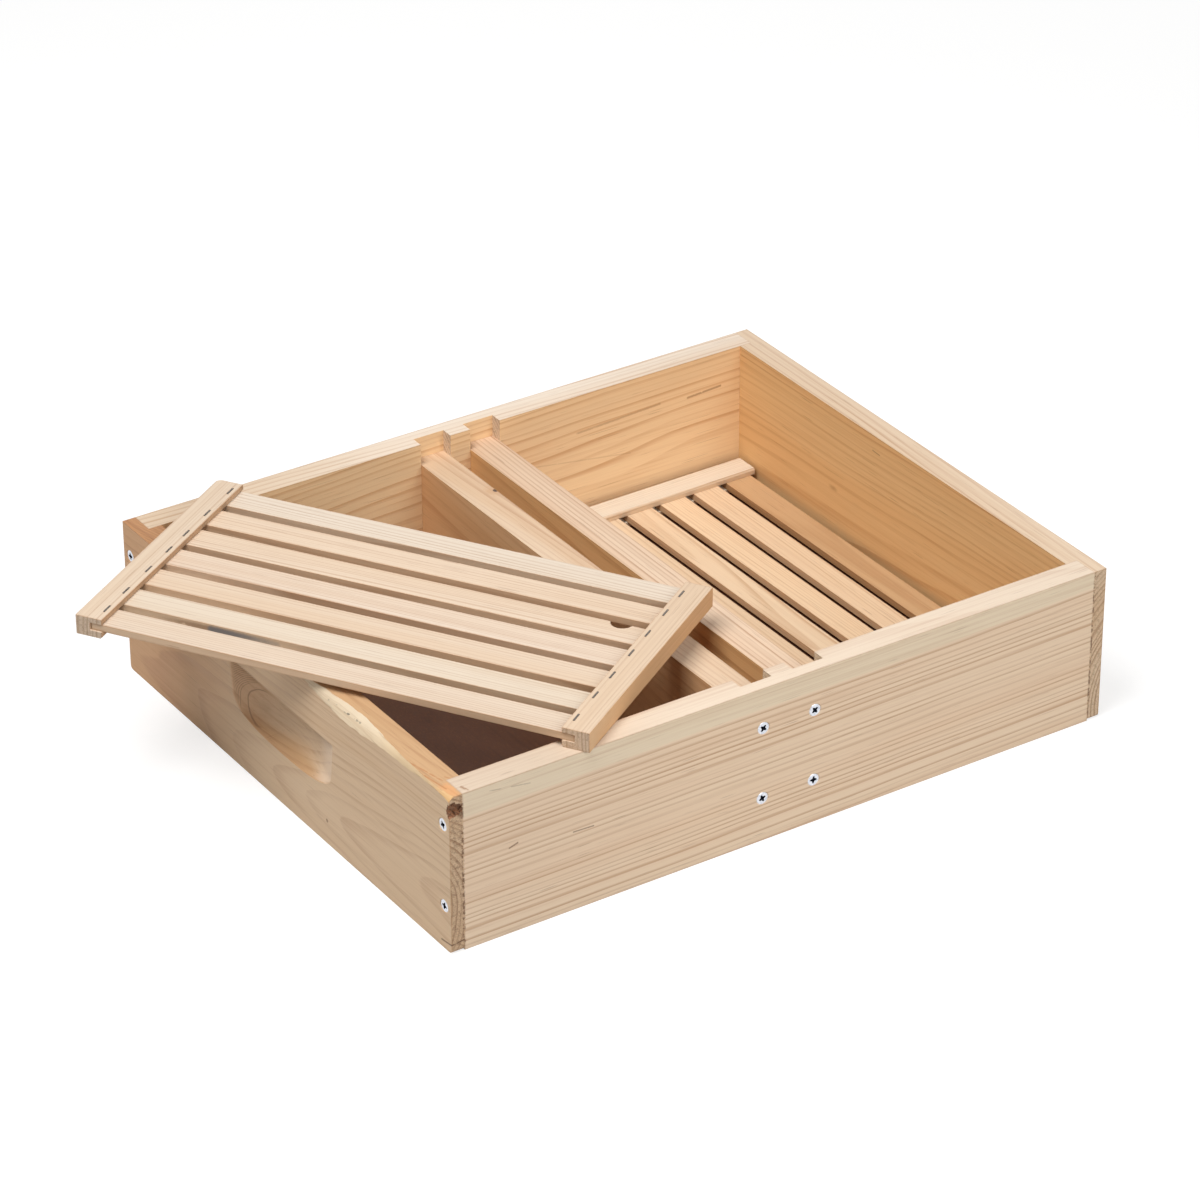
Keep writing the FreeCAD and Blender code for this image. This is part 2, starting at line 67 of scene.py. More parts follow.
class Graph:
    """Adds nodes to one shader tree. Each method returns the socket that it makes."""

    def __init__(self, tree):
        self.tree = tree

    def add(self, kind, settings=None, inputs=None):
        node = self.tree.nodes.new(kind)
        for name, value in (settings or {}).items():
            setattr(node, name, value)
        for name, value in (inputs or {}).items():
            self.feed(node.inputs[name], value)
        return node

    def feed(self, socket, value):
        if isinstance(value, bpy.types.NodeSocket):
            self.tree.links.new(value, socket)
        else:
            socket.default_value = value

    def math(self, operation, *values, clamp=False):
        node = self.add("ShaderNodeMath", {"operation": operation, "use_clamp": clamp})
        for socket, value in zip(node.inputs, values):
            self.feed(socket, value)
        return node.outputs[0]

    def vector(self, operation, *values):
        node = self.add("ShaderNodeVectorMath", {"operation": operation})
        for socket, value in zip(node.inputs, values):
            self.feed(socket, value)
        return node.outputs["Value" if operation in ("LENGTH", "DOT_PRODUCT") else "Vector"]

    def scale(self, vector, factor):
        node = self.add("ShaderNodeVectorMath", {"operation": "SCALE"}, {0: vector, "Scale": factor})
        return node.outputs[0]

    def stretch(self, vector, scale):
        return self.vector("MULTIPLY", vector, scale)

    def split(self, vector):
        return list(self.add("ShaderNodeSeparateXYZ", inputs={0: vector}).outputs)

    def join(self, x, y, z):
        return self.add("ShaderNodeCombineXYZ", inputs={0: x, 1: y, 2: z}).outputs[0]

    def noise(self, vector, detail=2.0, roughness=0.5, colour=False):
        node = self.add("ShaderNodeTexNoise", inputs={
            "Vector": vector, "Scale": 1.0, "Detail": detail, "Roughness": roughness})
        return node.outputs[1 if colour else 0]

    def scatter(self, value):
        """A random number from 0 to 1 for each whole number."""
        node = self.add("ShaderNodeTexWhiteNoise", {"noise_dimensions": "1D"}, {"W": value})
        return node.outputs["Value"]

    def rise(self, value, low, high, to_low=0.0, to_high=1.0):
        """A smooth step from to_low, up to low, to to_high, from high on."""
        node = self.add("ShaderNodeMapRange", {"interpolation_type": "SMOOTHSTEP"}, {
            0: value, 1: low, 2: high, 3: to_low, 4: to_high})
        return node.outputs[0]

    def rise_between(self, larger, smaller):
        """How far larger exceeds smaller, as a soft step: 0 from 1 mm less, 1 from 1 mm more."""
        return self.rise(self.math("SUBTRACT", larger, smaller), -0.001, 0.001)

    def mix(self, share, first, second, blend="MIX"):
        node = self.add("ShaderNodeMix", {"data_type": "RGBA", "blend_type": blend})
        for number, value in ((0, share), (6, first), (7, second)):
            self.feed(node.inputs[number], value)
        return node.outputs[2]


def new_group(name, inputs, outputs):
    """An empty shader group, with its input and output nodes."""
    group = bpy.data.node_groups.new(name, "ShaderNodeTree")
    for direction, sockets in (("INPUT", inputs), ("OUTPUT", outputs)):
        for label, kind in sockets:
            group.interface.new_socket(label, in_out=direction, socket_type="NodeSocket" + kind)
    return group, group.nodes.new("NodeGroupInput"), group.nodes.new("NodeGroupOutput")


# Noises of the wood pattern, as waves in a metre along the board, across it and through it
BEND_WAVES = (2.6, 9, 9)
CLOUD_WAVES = (2.2, 14, 14)
FIBRE_WAVES = (5, 430, 430)
THREAD_WAVES = (30, 1500, 1500)
FLECK_WAVES = (38, 1500, 1500)
PIT_WAVES = (1300, 1300, 1300)
TORN_WAVES = (420, 420, 420)
FRAY_WAVES = (160, 300, 300)
SEED_STEP = (3.17, 7.31, 5.23)
BAND_WAVES = (55.0, 1.2)        # across the rings and along the board
RING_DRIFT = 3.4                # how many rings the spacing runs ahead or behind
RING_CHANGE = 0.23              # how fast that changes, in waves for each ring
SAP_WANDER = 0.003              # how far the sapwood's edge wanders, in metres
FRAY_DEPTH = 0.0016             # how far an edge's fraying reaches, in metres

WHITE = tint(1, 1, 1)
SAPWOOD = srgb(230, 213, 185)
FLECK = srgb(120, 78, 48)
SAWN_RING = srgb(146, 110, 80)
SAWN_PIT = srgb(118, 84, 60)
SAWN_TORN = srgb(100, 68, 46)
FRAYED_EDGE = srgb(176, 132, 92)


def make_wood_group():
    """Softwood cut from a log. Place is in metres from the middle of the board, with X along
    the grain. Rings run round a pith line that Pith places and Lean tilts, so one pattern
    gives straight lines, cathedrals, contours in a scoop and arcs on the sawn ends."""
    group, entry, result = new_group("softwood", [
        ("Place", "Vector"), ("Normal", "Vector"), ("Half size", "Vector"), ("Pith", "Vector"),
        ("Lean", "Vector"), ("Pitch", "Float"), ("Wander", "Float"), ("Figure", "Float"),
        ("Streaks", "Float"), ("Seed", "Float"), ("Early", "Color"), ("Heart", "Color"),
        ("Late", "Color"), ("Rough sawn", "Float"), ("Sapwood", "Vector"), ("Front tint", "Color"),
        ("Back tint", "Color"), ("Top tint", "Color"), ("Bottom tint", "Color"),
    ], [("Color", "Color"), ("Roughness", "Float"), ("Height", "Float")])
    g = Graph(group)
    given = entry.outputs
    place = given["Place"]
    spot = g.vector("ADD", place, g.scale(SEED_STEP, given["Seed"]))
    x, y, z = g.split(place)
    pith_y, pith_z = g.split(given["Pith"])[1:]
    lean_y, lean_z = g.split(given["Lean"])[1:]

    # Distance from the pith line, which the noise bends, and the rings that it gives
    bending = g.noise(g.stretch(spot, BEND_WAVES), 2.5, 0.5, True)
    bend = g.split(g.vector("SUBTRACT", bending, (0.5, 0.5, 0.5)))
    across = []
    for axis, pith, lean, wave in ((y, pith_y, lean_y, bend[0]), (z, pith_z, lean_z, bend[1])):
        straight = g.math("SUBTRACT", g.math("SUBTRACT", axis, pith), g.math("MULTIPLY", lean, x))
        across.append(g.math("MULTIPLY_ADD", wave, given["Wander"], straight))
    radius = g.vector("LENGTH", g.join(across[0], across[1], 0.0))
    turns = g.math("DIVIDE", radius, given["Pitch"])
    uneven = g.noise(g.join(g.math("MULTIPLY", turns, RING_CHANGE), given["Seed"], 0.0), 1.0)
    turns = g.math("MULTIPLY_ADD", uneven, RING_DRIFT, turns)
    phase = g.math("FRACT", turns)
    ring = g.math("FLOOR", turns)
    strength = g.rise(g.scatter(g.math("ADD", ring, given["Seed"])), 0.0, 1.0, 0.4, 1.0)
    climb = g.rise(phase, 0.45, 0.93)
    drop = g.rise(phase, 0.94, 1.0, 1.0, 0.0)
    late = g.math("MULTIPLY", g.math("MULTIPLY", climb, drop), strength)

    # The sapwood is a band of radii with calmer rings
    sap_near, sap_far, sap_calm = g.split(given["Sapwood"])
    ragged = g.math("MULTIPLY_ADD", g.math("SUBTRACT", uneven, 0.5), SAP_WANDER, radius)
    sap = g.math("MULTIPLY", g.rise_between(ragged, sap_near), g.rise_between(sap_far, ragged))
    late = g.math("MULTIPLY", late, g.math("SUBTRACT", 1.0, g.math("MULTIPLY", sap, sap_calm)))

    # Broad bands and clouds of tone, and the fine fibres
    band_spot = g.join(g.math("MULTIPLY", radius, BAND_WAVES[0]), given["Seed"],
                       g.math("MULTIPLY", x, BAND_WAVES[1]))
    band = g.rise(g.noise(band_spot, 2.0), 0.32, 0.68)
    cloud = g.rise(g.noise(g.stretch(spot, CLOUD_WAVES), 2.0), 0.3, 0.7)
    fibre = g.noise(g.stretch(spot, FIBRE_WAVES), 3.0, 0.6)
    thread = g.noise(g.stretch(spot, THREAD_WAVES), 2.0, 0.6)
    fleck = g.rise(g.noise(g.stretch(spot, FLECK_WAVES), 0.0), 0.76, 0.84)

    facing = g.split(given["Normal"])
    end = g.rise(g.math("ABSOLUTE", facing[0]), 0.55, 0.85)
    long_grain = g.math("SUBTRACT", 1.0, end)

    # Early wood and its slow changes, then rings, streaks, threads and flecks over it
    mottle = g.math("MULTIPLY_ADD", band, 0.6, g.math("MULTIPLY", cloud, 0.4))
    colour = g.mix(mottle, given["Early"], given["Heart"])
    colour = g.mix(g.math("MULTIPLY", sap, 0.8), colour, SAPWOOD)
    streak = g.rise(fibre, 0.3, 0.72, -0.5, 0.5)
    line = g.math("ADD", g.math("MULTIPLY", late, given["Figure"]),
                  g.math("MULTIPLY", g.math("MULTIPLY", streak, given["Streaks"]), long_grain), clamp=True)
    colour = g.mix(line, colour, given["Late"])
    colour = g.mix(g.math("MULTIPLY", g.rise(thread, 0.35, 0.75), 0.10), colour, given["Late"])
    colour = g.mix(g.math("MULTIPLY", fleck, g.math("MULTIPLY", long_grain, 0.35)), colour, FLECK)

    # Sawn ends are rougher: darker rings, open pits and torn places
    pits = g.rise(g.noise(g.stretch(spot, PIT_WAVES), 2.0, 0.7), 0.42, 0.62)
    torn = g.rise(g.noise(g.stretch(spot, TORN_WAVES), 3.0, 0.7), 0.5, 0.66)
    sawn = colour
    for share, tone in ((g.math("MULTIPLY_ADD", late, 0.6, 0.2), SAWN_RING),
                        (g.math("MULTIPLY", pits, 0.32), SAWN_PIT),
                        (g.math("MULTIPLY", torn, 0.4), SAWN_TORN)):
        sawn = g.mix(g.math("MULTIPLY", share, given["Rough sawn"]), sawn, tone)
    colour = g.mix(end, colour, sawn)

    # An edge is where the second smallest distance to the board's faces is near 0
    gaps = [g.math("SUBTRACT", half, g.math("ABSOLUTE", axis))
            for half, axis in zip(g.split(given["Half size"]), (x, y, z))]
    nearer = g.math("MINIMUM", gaps[0], gaps[1])
    farther = g.math("MAXIMUM", gaps[0], gaps[1])
    second = g.math("MAXIMUM", nearer, g.math("MINIMUM", farther, gaps[2]))
    frayed = g.math("MULTIPLY_ADD", g.noise(g.stretch(spot, FRAY_WAVES), 3.0, 0.7), -FRAY_DEPTH, second)
    edge = g.rise(frayed, -0.0008, 0.0004, 1.0, 0.0)
    colour = g.mix(g.math("MULTIPLY", edge, 0.35), colour, FRAYED_EDGE)
    for label, axis, sign in (("Front tint", 2, 1), ("Back tint", 2, -1),
                              ("Top tint", 1, 1), ("Bottom tint", 1, -1)):
        share = g.rise(g.math("MULTIPLY", facing[axis], sign), 0.4, 0.8)
        colour = g.mix(share, colour, g.mix(1.0, colour, given[label], "MULTIPLY"))

    coarse = g.math("MULTIPLY_ADD", end, 0.2, 0.58)
    gloss = g.math("MULTIPLY_ADD", late, -0.12, coarse)
    roughness = g.math("MULTIPLY_ADD", fibre, 0.14, gloss)
    hairs = g.math("MULTIPLY_ADD", thread, 0.2, g.math("MULTIPLY", fibre, 0.4))
    height = g.math("MULTIPLY_ADD", late, 0.35, hairs)
    rough_end = g.math("MULTIPLY", g.math("ADD", pits, torn), -1.2)
    height = g.math("MULTIPLY_ADD", rough_end, end, height)
    for label, socket in (("Color", colour), ("Roughness", roughness), ("Height", height)):
        g.feed(result.inputs[label], socket)
    return group


WOOD = make_wood_group()


# Where the boards lie and how their grain runs

def corners_of(node):
    """The distinct plan corners of a CAD node, rounded to a tenth of a millimetre."""
    return sorted({(round(v.co.x, 4), round(v.co.y, 4)) for v in NODES[node].data.vertices})


def slat_direction(node):
    """The long direction of a slat, read from its plan corners: the nearest corner is
    across its width and the next one is along its length."""
    corners = [Vector(corner) for corner in corners_of(node)]
    first = corners[0]
    others = sorted(corners[1:], key=lambda corner: (corner - first).length)
    along = (others[1] - first).normalized()
    if along.y < 0:
        along = -along
    return Vector((along.x, along.y, 0))


class Board:
    """A node's middle and half size, in directions along the grain, across it and through it."""

    def __init__(self, node, along, across):
        self.node = node
        self.turn = Matrix((along, across, along.cross(across)))
        points = [self.turn @ v.co for v in NODES[node].data.vertices]
        low = Vector(min(p[i] for p in points) for i in range(3))
        high = Vector(max(p[i] for p in points) for i in range(3))
        self.centre = self.turn.transposed() @ ((low + high) / 2)
        self.half = (high - low) / 2


# Materials

WOOD_IOR = 1.45


def new_material(name):
    """A material with an empty shader tree, and the graph that fills it."""
    material = bpy.data.materials.new(name)
    material.use_nodes = True
    material.node_tree.nodes.clear()
    return material, Graph(material.node_tree)


def make_surface(g, look, height, strength, distance):
    """Ends a material with a bumped surface. look gives the surface's other inputs by name."""
    bump = g.add("ShaderNodeBump", inputs={"Height": height, "Strength": strength, "Distance": distance})
    skin = g.add("ShaderNodeBsdfPrincipled", inputs={"Normal": bump.outputs[0], **look})
    g.feed(g.add("ShaderNodeOutputMaterial").inputs["Surface"], skin.outputs[0])


def wood_material(board, early, heart, late, pith, lean, pitch, wander, figure, streaks, seed,
                  rough_sawn=0.6, sapwood=(0, 0, 0), front=WHITE, back=WHITE, top=WHITE, bottom=WHITE,
                  marks=(), name=None):
    """pith is the place of the pith across and through the board, in metres from its middle.
    sapwood is the nearest and farthest radius of a pale band, and how much it calms the rings."""
    material, g = new_material(name or "wood_" + board.node)
    where = g.add("ShaderNodeTexCoord").outputs
    turn = board.turn.to_euler()
    place = g.add("ShaderNodeMapping", {"vector_type": "POINT"}, {
        "Vector": where["Object"], "Rotation": turn, "Location": -(board.turn @ board.centre)}).outputs[0]
    normal = g.add("ShaderNodeMapping", {"vector_type": "VECTOR"}, {
        "Vector": where["Normal"], "Rotation": turn}).outputs[0]
    wood = g.add("ShaderNodeGroup", {"node_tree": WOOD}, {
        "Place": place, "Normal": normal, "Half size": board.half,
        "Pith": (0, pith[0], pith[1]), "Lean": (0, lean[0], lean[1]),
        "Pitch": pitch, "Wander": wander, "Figure": figure, "Streaks": streaks, "Seed": seed,
        "Early": early, "Heart": heart, "Late": late, "Rough sawn": rough_sawn, "Sapwood": sapwood,
        "Front tint": front, "Back tint": back, "Top tint": top, "Bottom tint": bottom})
    colour = wood.outputs["Color"]
    for mark in marks:
        colour = mark(g, where["Object"], colour)
    look = {"Base Color": colour, "Roughness": wood.outputs["Roughness"], "IOR": WOOD_IOR}
    make_surface(g, look, wood.outputs["Height"], strength=0.4, distance=0.0003)
    return material


def streak_mark(start, end, width, colour, strength=0.8, broken=0.5, grit=170, ragged=1.0):
    """A mark along a line of the row frame, in millimetres: a pitch streak, stain or crack.
    broken runs from 0, unbroken, to 1, mostly gaps, and grit is how many gaps fit in a metre.
    ragged is how far the mark's outline wanders, as a share of its width."""
    start, end = Vector(start) / 1000, Vector(end) / 1000
    run = end - start
    width = width / 1000

    def mark(g, spot, base):
        ahead = g.vector("SUBTRACT", spot, start)
        share = g.math("DIVIDE", g.vector("DOT_PRODUCT", ahead, run), run.length_squared, clamp=True)
        nearest = g.scale(run, share)
        distance = g.vector("LENGTH", g.vector("SUBTRACT", ahead, nearest))
        rough = g.noise(g.scale(spot, 2.2 / width), 2.0, 0.6)
        distance = g.math("MULTIPLY_ADD", g.math("SUBTRACT", rough, 0.5), width * ragged, distance)
        inside = g.rise(distance, width * 0.25, width, 1.0, 0.0)
        gaps = g.noise(g.scale(spot, grit), 2.0, 0.6)
        kept = g.rise(gaps, 0.25 + 0.3 * broken, 0.38 + 0.3 * broken)
        return g.mix(g.math("MULTIPLY", g.math("MULTIPLY", inside, kept), strength), base, colour)
    return mark


def blotch_mark(centre, size, colour, strength=0.6, softness=0.5, ragged=0.4):
    """A rounded patch of the row frame, in millimetres: a stain, a knot, a worn place, a patch of painted
    light.
    """
    centre = Vector(centre) / 1000
    scale = Vector(1000 / value for value in size)

    def mark(g, spot, base):
        away = g.stretch(g.vector("SUBTRACT", spot, centre), scale)
        rough = g.math("SUBTRACT", g.noise(g.scale(spot, 240), 3.0, 0.6), 0.5)
        distance = g.math("MULTIPLY_ADD", rough, ragged * 2, g.vector("LENGTH", away))
        return g.mix(g.rise(distance, 1 - softness, 1.0, strength, 0.0), base, colour)
    return mark


def tone_and_shade_mark(axis, start, end, factor, above=None):
    """A slow change along one axis of the row frame: none at start, full at end, in millimetres. It
    is a tone of the wood, and on the left end a painted shadow. above keeps it to what lies higher."""
    def mark(g, spot, base):
        drift = g.math("MULTIPLY_ADD", g.noise(g.scale(spot, 14), 2.0), 0.05, g.split(spot)[axis])
        share = g.rise(drift, start / 1000 + 0.025, end / 1000 + 0.025)
        if end < start:
            share = g.rise(drift, end / 1000 + 0.025, start / 1000 + 0.025, 1.0, 0.0)
        if above is not None:
            share = g.math("MULTIPLY", share, g.rise(g.split(spot)[2], (above - 0.5) / 1000, above / 1000))
        return g.mix(share, base, g.mix(1.0, base, factor, "MULTIPLY"))
    return mark


# The scoop's colours reach this deep behind the outer face, this far to both sides of the
# middle and this high, in millimetres. Beyond them lie the rim, the sawn ends and the rabbets
HOLD_DEPTH = 15.0
HOLD_REACH = 85.0
HOLD_TOP = 80.0
HOLD_RINGS = 10.0               # fine rings for each radius of the one that stands alone
# Painted shade for the scoop's rear half, and a painted highlight for its front end
HOLD_REAR_SHADE = tint(0.82, 0.74, 0.68)
HOLD_FRONT_HIGHLIGHT = srgb(232, 208, 184)


def hand_hold_rings_and_painted_light(depth_edge, core, core_size, colour):
    """Rings that the scoop cuts round their core, painted shade over its rear half and a painted
    highlight at its front end. The outer face is at X = depth_edge. core and core_size are the middle
    and the half axes of the ring that stands alone, across and up, in millimetres."""
    def mark(g, spot, base):
        x, y, z = g.split(spot)
        inside = g.rise(x, (depth_edge + 0.25) / 1000, (depth_edge + 0.7) / 1000)
        limits = ((x, depth_edge + HOLD_DEPTH), (g.math("ABSOLUTE", y), HOLD_REACH), (z, HOLD_TOP))
        for axis, reach in limits:
            inside = g.math("MULTIPLY", inside, g.rise(axis, reach / 1000, (reach + 1) / 1000, 1.0, 0.0))

        # Distance from the core, which is 1 at the ring that stands alone
        across = g.math("DIVIDE", g.math("SUBTRACT", y, core[0] / 1000), core_size[0] / 1000)
        up = g.math("DIVIDE", g.math("SUBTRACT", z, core[1] / 1000), core_size[1] / 1000)
        wobble = g.math("SUBTRACT", g.noise(g.scale(spot, 70), 2.0), 0.5)
        size = g.math("MULTIPLY_ADD", wobble, 0.16, g.vector("LENGTH", g.join(across, up, 0.0)))

        # Fine rings outside that one, and a darker heart inside it
        comb = g.math("FRACT", g.math("MULTIPLY", size, HOLD_RINGS))
        comb = g.math("ABSOLUTE", g.math("SUBTRACT", comb, 0.5))
        dense = g.math("MULTIPLY", g.rise(comb, 0.2, 0.46), g.rise(size, 1.33, 1.4))
        lone = g.rise(g.math("ABSOLUTE", g.math("SUBTRACT", size, 1.0)), 0.01, 0.055, 1.0, 0.0)
        lone = g.math("MULTIPLY", lone, g.rise(across, -0.35, 0.25))
        heart = g.rise(size, 0.0, 0.65, 0.3, 0.0)
        rings = g.math("MAXIMUM", g.math("MULTIPLY", dense, 0.85), g.math("MAXIMUM", lone, heart))
        deep = g.rise(x, (depth_edge + 0.5) / 1000, (depth_edge + 1.6) / 1000)
        rings = g.math("MULTIPLY", rings, g.math("MULTIPLY", deep, g.rise(y, 0.010, 0.034)))

        # Painted shade over the scoop's rear half, where the loose float's shadow falls, and a painted
        # highlight at its front end
        painted_shade = g.math("MULTIPLY", inside, g.rise(y, 0.002, 0.05))
        base = g.mix(painted_shade, base, g.mix(1.0, base, HOLD_REAR_SHADE, "MULTIPLY"))
        far_end = g.rise(size, 4.1, 5.4, 0.0, 0.5)
        painted_highlight = g.math("MULTIPLY", inside, g.math("MULTIPLY", far_end, g.rise(y, -0.03, -0.01, 1.0, 0.0)))
        base = g.mix(painted_highlight, base, HOLD_FRONT_HIGHLIGHT)
        return g.mix(g.math("MULTIPLY", rings, 0.58), base, colour)
    return mark


BROWN = srgb(120, 80, 58)
DULL_BROWN = srgb(104, 66, 47)
PALE_FIBRE = srgb(150, 108, 80)
DARK_FIBRE = srgb(84, 52, 38)


def hardboard_material():
    """Brown pressed fibres, with a slow change of tone and darker streaks."""
    material, g = new_material("hardboard")
    spot = g.add("ShaderNodeTexCoord").outputs["Object"]
    cloud = g.noise(g.stretch(spot, (9, 5, 9)), 3.0)
    fluff = g.noise(g.stretch(spot, (900, 420, 900)), 4.0, 0.7)
    streak = g.noise(g.stretch(spot, (160, 9, 160)), 3.0, 0.6)
    colour = g.mix(g.rise(cloud, 0.35, 0.65), BROWN, DULL_BROWN)
    colour = g.mix(g.rise(fluff, 0.45, 0.7, 0.0, 0.35), colour, PALE_FIBRE)
    colour = g.mix(g.rise(streak, 0.5, 0.75, 0.0, 0.35), colour, DARK_FIBRE)
    look = {"Base Color": colour, "Roughness": g.rise(fluff, 0.2, 0.8, 0.45, 0.65), "IOR": WOOD_IOR}
    make_surface(g, look, fluff, strength=0.35, distance=0.0002)
    return material


def metal_material(name, bright, dull, roughness):
    """Plated or plain metal, with duller patches and fine scratches."""
    material, g = new_material(name)
    spot = g.add("ShaderNodeTexCoord").outputs["Object"]
    patch = g.noise(g.stretch(spot, (700, 700, 700)), 3.0, 0.6)
    scratch = g.noise(g.stretch(spot, (3000, 500, 3000)), 2.0, 0.6)
    colour = g.mix(g.rise(patch, 0.35, 0.7), bright, dull)
    gloss = g.rise(scratch, 0.2, 0.8, roughness - 0.08, roughness + 0.1)
    look = {"Base Color": colour, "Metallic": 1.0, "Roughness": gloss}
    make_surface(g, look, scratch, strength=0.2, distance=0.00005)
    return material


def dress(node, material):
    """Gives a CAD node one material."""
    slots = NODES[node].material_slots
    for slot in slots:
        slot.link = "OBJECT"
        slot.material = material


# Eased edges

SAME_PLACE = 1e-6               # metres between corners that are one corner
FLAT_ANGLE = math.radians(0.2)  # between faces that are one flat face
EASED_ANGLE = math.radians(40)  # at which the bevel takes an edge
SHARP_ANGLE = math.radians(19)  # at which the shading keeps an edge
EASE_SEGMENTS = 2
FULL_WEIGHT = 100


def make_smoothing(sharp_angle):
    """Geometry nodes that shade a mesh smooth except across its sharp edges."""
    group = bpy.data.node_groups.new("smooth_by_angle", "GeometryNodeTree")
    group.is_modifier = True
    for direction in ("INPUT", "OUTPUT"):
        group.interface.new_socket("Geometry", in_out=direction, socket_type="NodeSocketGeometry")
    g = Graph(group)
    mesh = g.add("NodeGroupInput").outputs[0]
    plain = g.add("GeometryNodeRemoveAttribute", inputs={
        "Geometry": mesh, "Name": "custom_normal"}).outputs[0]
    smooth = g.add("GeometryNodeSetShadeSmooth", {"domain": "FACE"}, {
        "Geometry": plain, "Shade Smooth": True}).outputs[0]
    angle = g.add("GeometryNodeInputMeshEdgeAngle").outputs[0]
    sharp = g.add("FunctionNodeCompare", {"data_type": "FLOAT", "operation": "GREATER_THAN"}, {
        0: angle, 1: sharp_angle}).outputs[0]
    split = g.add("GeometryNodeSetShadeSmooth", {"domain": "EDGE"}, {
        "Geometry": smooth, "Selection": sharp, "Shade Smooth": False}).outputs[0]
    g.feed(g.add("NodeGroupOutput").inputs[0], split)
    return group


SMOOTHING = make_smoothing(SHARP_ANGLE)


def ease_edges(piece, width, keep_materials=False):
    """Joins a node's faces, merges flat ones and rounds its edges, all as modifiers.
    keep_materials leaves flat faces of different materials apart."""
    weld = piece.modifiers.new("join_faces", "WELD")
    weld.merge_threshold = SAME_PLACE
    merge = piece.modifiers.new("merge_flat_faces", "DECIMATE")
    merge.decimate_type = "DISSOLVE"
    merge.angle_limit = FLAT_ANGLE
    if keep_materials:
        merge.delimit = {"MATERIAL"}
    smooth = piece.modifiers.new("smooth_by_angle", "NODES")
    smooth.node_group = SMOOTHING
    bevel = piece.modifiers.new("eased_edges", "BEVEL")
    bevel.width = width
    bevel.segments = EASE_SEGMENTS
    bevel.limit_method = "ANGLE"
    bevel.angle_limit = EASED_ANGLE
    weigh = piece.modifiers.new("keep_faces_flat", "WEIGHTED_NORMAL")
    weigh.keep_sharp = True
    weigh.weight = FULL_WEIGHT


# Dressing the boards

EDGE_EASE = 0.0006
STICK_EASE = 0.0003
PITCH = srgb(104, 64, 38)
PITCH_PALE = srgb(150, 100, 60)
CHIPPED = srgb(104, 72, 50)
FRAYED = srgb(178, 118, 68)
DARK_HOLE = srgb(58, 36, 24)

